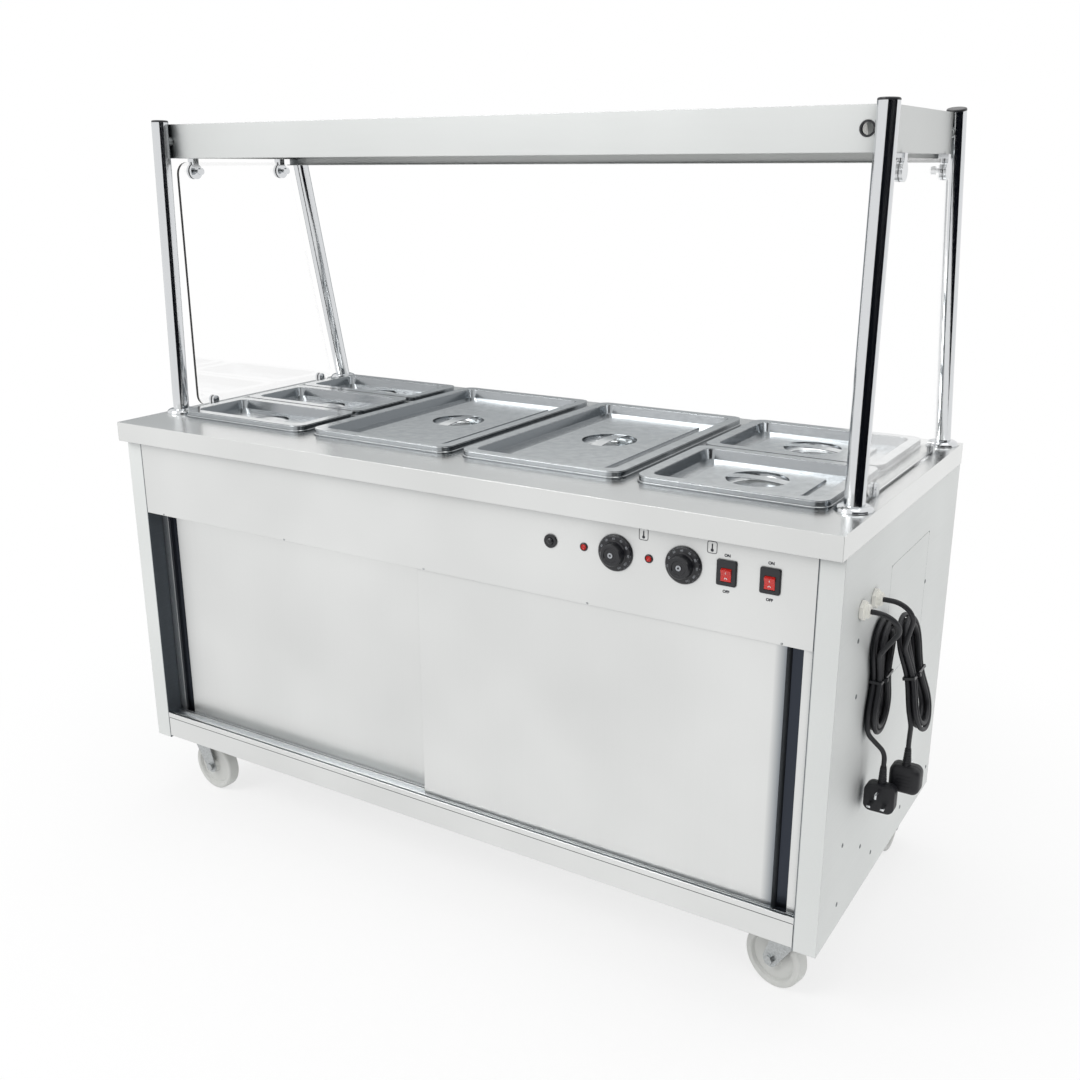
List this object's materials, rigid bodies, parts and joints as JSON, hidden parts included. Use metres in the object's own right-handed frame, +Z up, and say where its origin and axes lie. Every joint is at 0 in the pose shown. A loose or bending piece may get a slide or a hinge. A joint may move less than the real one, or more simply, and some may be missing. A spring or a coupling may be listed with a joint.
{
  "type": "mobile hot cupboard",
  "caption": "Mobile hot cupboard with sliding doors, heated pan wells with lids, knobs and switches, and a lit tube gantry.",
  "frame": {"origin": "on the floor under the middle of the worktop", "axes": "+Z up, the doors and controls face -Y, +X to the right seen from the front"},
  "size_m": [1.585, 0.685, 1.4177],
  "materials": {
    "stainless_satin": "satin brushed stainless sheet",
    "stainless_plain": "plain mill stainless sheet",
    "stainless_pan": "pressed stainless, soft polish",
    "element_sheath": "dark oxidised element sheath",
    "zinc_plate": "bright zinc plate",
    "polished_tube": "polished stainless tube",
    "black_plastic": "black moulded plastic",
    "clear_glass": "clear toughened glass",
    "lamp_fitting": "white enamel and bright reflector",
    "red_lens": "red translucent plastic",
    "white_nylon": "white nylon",
    "black_cord": "black rubber sheath"
  },
  "bodies": {
    "cabinet": {"worktop": "stainless_satin", "pan_bars": "stainless_satin", "well": "stainless_plain", "heating_elements": "element_sheath", "left_side": "stainless_satin", "right_side": "stainless_satin", "back_panel": "stainless_plain", "base": "stainless_satin", "shelves": "stainless_satin", "fascia": "stainless_satin", "control_gear": "zinc_plate", "door_tracks": "stainless_satin", "gantry_tubes": "polished_tube", "tube_flanges": "polished_tube", "tube_caps": "black_plastic", "canopy": "stainless_satin", "canopy_lamps": "lamp_fitting", "side_glass": "clear_glass", "glass_clamps": "polished_tube", "panel_screws": "zinc_plate", "access_cover": "stainless_satin", "neons": "red_lens", "switch_frames": "black_plastic", "castor_plates": "zinc_plate", "cord_glands": "white_nylon", "lead_a": "black_cord", "hank_a": "black_cord", "lead_b": "black_cord", "hank_b": "black_cord", "cord_ties": "black_plastic", "plugs": "black_plastic"},
    "front_door": {"front_door": "stainless_satin"},
    "rear_door": {"rear_door": "stainless_satin"},
    "knob_top": {"knob_top": "black_plastic"},
    "knob_bottom": {"knob_bottom": "black_plastic"},
    "rocker_main": {"rocker_main": "red_lens"},
    "rocker_lights": {"rocker_lights": "red_lens"},
    "reset_button": {"reset_button": "black_plastic"},
    "fork_front_left": {"fork_front_left": "zinc_plate"},
    "fork_front_right": {"fork_front_right": "zinc_plate"},
    "fork_rear_left": {"fork_rear_left": "zinc_plate"},
    "fork_rear_right": {"fork_rear_right": "zinc_plate"},
    "wheel_front_left": {"wheel_front_left": "white_nylon"},
    "wheel_front_right": {"wheel_front_right": "white_nylon"},
    "wheel_rear_left": {"wheel_rear_left": "white_nylon"},
    "wheel_rear_right": {"wheel_rear_right": "white_nylon"},
    "pan_third_front": {"pan_third_front": "stainless_pan"},
    "pan_third_middle": {"pan_third_middle": "stainless_pan"},
    "pan_third_rear": {"pan_third_rear": "stainless_pan"},
    "pan_full_left": {"pan_full_left": "stainless_pan"},
    "pan_full_right": {"pan_full_right": "stainless_pan"},
    "pan_half_front": {"pan_half_front": "stainless_pan"},
    "pan_half_rear": {"pan_half_rear": "stainless_pan"},
    "lid_third_front": {"lid_third_front": "stainless_pan"},
    "lid_third_middle": {"lid_third_middle": "stainless_pan"},
    "lid_third_rear": {"lid_third_rear": "stainless_pan"},
    "lid_full_left": {"lid_full_left": "stainless_pan"},
    "lid_full_right": {"lid_full_right": "stainless_pan"},
    "lid_half_front": {"lid_half_front": "stainless_pan"},
    "lid_half_rear": {"lid_half_rear": "stainless_pan"}
  },
  "joints": [
    {"name": "slide_front_door", "type": "slide", "parent": "cabinet", "child": "front_door", "axis": [-1, 0, 0], "range_m": [0, 0.6857]},
    {"name": "slide_rear_door", "type": "slide", "parent": "cabinet", "child": "rear_door", "axis": [1, 0, 0], "range_m": [0, 0.6857]},
    {"name": "swivel_front_left", "type": "hinge", "parent": "cabinet", "child": "fork_front_left", "pos_m": [-0.69, -0.245, 0.122], "axis": [0, 0, 1], "continuous": true},
    {"name": "spin_front_left", "type": "hinge", "parent": "fork_front_left", "child": "wheel_front_left", "pos_m": [-0.65505, -0.24683, 0.055], "axis": [0.0523, 0.9986, 0], "continuous": true},
    {"name": "swivel_front_right", "type": "hinge", "parent": "cabinet", "child": "fork_front_right", "pos_m": [0.69, -0.245, 0.122], "axis": [0, 0, 1], "continuous": true},
    {"name": "spin_front_right", "type": "hinge", "parent": "fork_front_right", "child": "wheel_front_right", "pos_m": [0.65619, -0.23594, 0.055], "axis": [-0.2588, -0.9659, 0], "continuous": true},
    {"name": "swivel_rear_left", "type": "hinge", "parent": "cabinet", "child": "fork_rear_left", "pos_m": [-0.69, 0.245, 0.122], "axis": [0, 0, 1], "continuous": true},
    {"name": "spin_rear_left", "type": "hinge", "parent": "fork_rear_left", "child": "wheel_rear_left", "pos_m": [-0.69, 0.28, 0.055], "axis": [-1, 0, 0], "continuous": true},
    {"name": "swivel_rear_right", "type": "hinge", "parent": "cabinet", "child": "fork_rear_right", "pos_m": [0.69, 0.245, 0.122], "axis": [0, 0, 1], "continuous": true},
    {"name": "spin_rear_right", "type": "hinge", "parent": "fork_rear_right", "child": "wheel_rear_right", "pos_m": [0.69, 0.28, 0.055], "axis": [-1, 0, 0], "continuous": true},
    {"name": "turn_knob_top", "type": "hinge", "parent": "cabinet", "child": "knob_top", "pos_m": [0.3815, -0.3325, 0.746], "axis": [0, -1, 0], "range_deg": [-280, 0]},
    {"name": "turn_knob_bottom", "type": "hinge", "parent": "cabinet", "child": "knob_bottom", "pos_m": [0.499, -0.3325, 0.746], "axis": [0, -1, 0], "range_deg": [-280, 0]},
    {"name": "rock_main", "type": "hinge", "parent": "cabinet", "child": "rocker_main", "pos_m": [0.57, -0.322, 0.743], "axis": [-1, 0, 0], "range_deg": [0, 16]},
    {"name": "rock_lights", "type": "hinge", "parent": "cabinet", "child": "rocker_lights", "pos_m": [0.639, -0.322, 0.743], "axis": [-1, 0, 0], "range_deg": [0, 16]},
    {"name": "press_reset", "type": "slide", "parent": "cabinet", "child": "reset_button", "axis": [0, 1, 0], "range_m": [0, 0.0025], "stiffness_N_per_m": 400},
    {"name": "lift_pan_third_front", "type": "slide", "parent": "cabinet", "child": "pan_third_front", "axis": [0, 0, 1], "range_m": [0, 0.15]},
    {"name": "lift_lid_third_front", "type": "slide", "parent": "pan_third_front", "child": "lid_third_front", "axis": [0, 0, 1], "range_m": [0, 0.12]},
    {"name": "lift_pan_third_middle", "type": "slide", "parent": "cabinet", "child": "pan_third_middle", "axis": [0, 0, 1], "range_m": [0, 0.15]},
    {"name": "lift_lid_third_middle", "type": "slide", "parent": "pan_third_middle", "child": "lid_third_middle", "axis": [0, 0, 1], "range_m": [0, 0.12]},
    {"name": "lift_pan_third_rear", "type": "slide", "parent": "cabinet", "child": "pan_third_rear", "axis": [0, 0, 1], "range_m": [0, 0.15]},
    {"name": "lift_lid_third_rear", "type": "slide", "parent": "pan_third_rear", "child": "lid_third_rear", "axis": [0, 0, 1], "range_m": [0, 0.12]},
    {"name": "lift_pan_full_left", "type": "slide", "parent": "cabinet", "child": "pan_full_left", "axis": [0, 0, 1], "range_m": [0, 0.15]},
    {"name": "lift_lid_full_left", "type": "slide", "parent": "pan_full_left", "child": "lid_full_left", "axis": [0, 0, 1], "range_m": [0, 0.12]},
    {"name": "lift_pan_full_right", "type": "slide", "parent": "cabinet", "child": "pan_full_right", "axis": [0, 0, 1], "range_m": [0, 0.15]},
    {"name": "lift_lid_full_right", "type": "slide", "parent": "pan_full_right", "child": "lid_full_right", "axis": [0, 0, 1], "range_m": [0, 0.12]},
    {"name": "lift_pan_half_front", "type": "slide", "parent": "cabinet", "child": "pan_half_front", "axis": [0, 0, 1], "range_m": [0, 0.15]},
    {"name": "lift_lid_half_front", "type": "slide", "parent": "pan_half_front", "child": "lid_half_front", "axis": [0, 0, 1], "range_m": [0, 0.12]},
    {"name": "lift_pan_half_rear", "type": "slide", "parent": "cabinet", "child": "pan_half_rear", "axis": [0, 0, 1], "range_m": [0, 0.15]},
    {"name": "lift_lid_half_rear", "type": "slide", "parent": "pan_half_rear", "child": "lid_half_rear", "axis": [0, 0, 1], "range_m": [0, 0.12]}
  ]
}
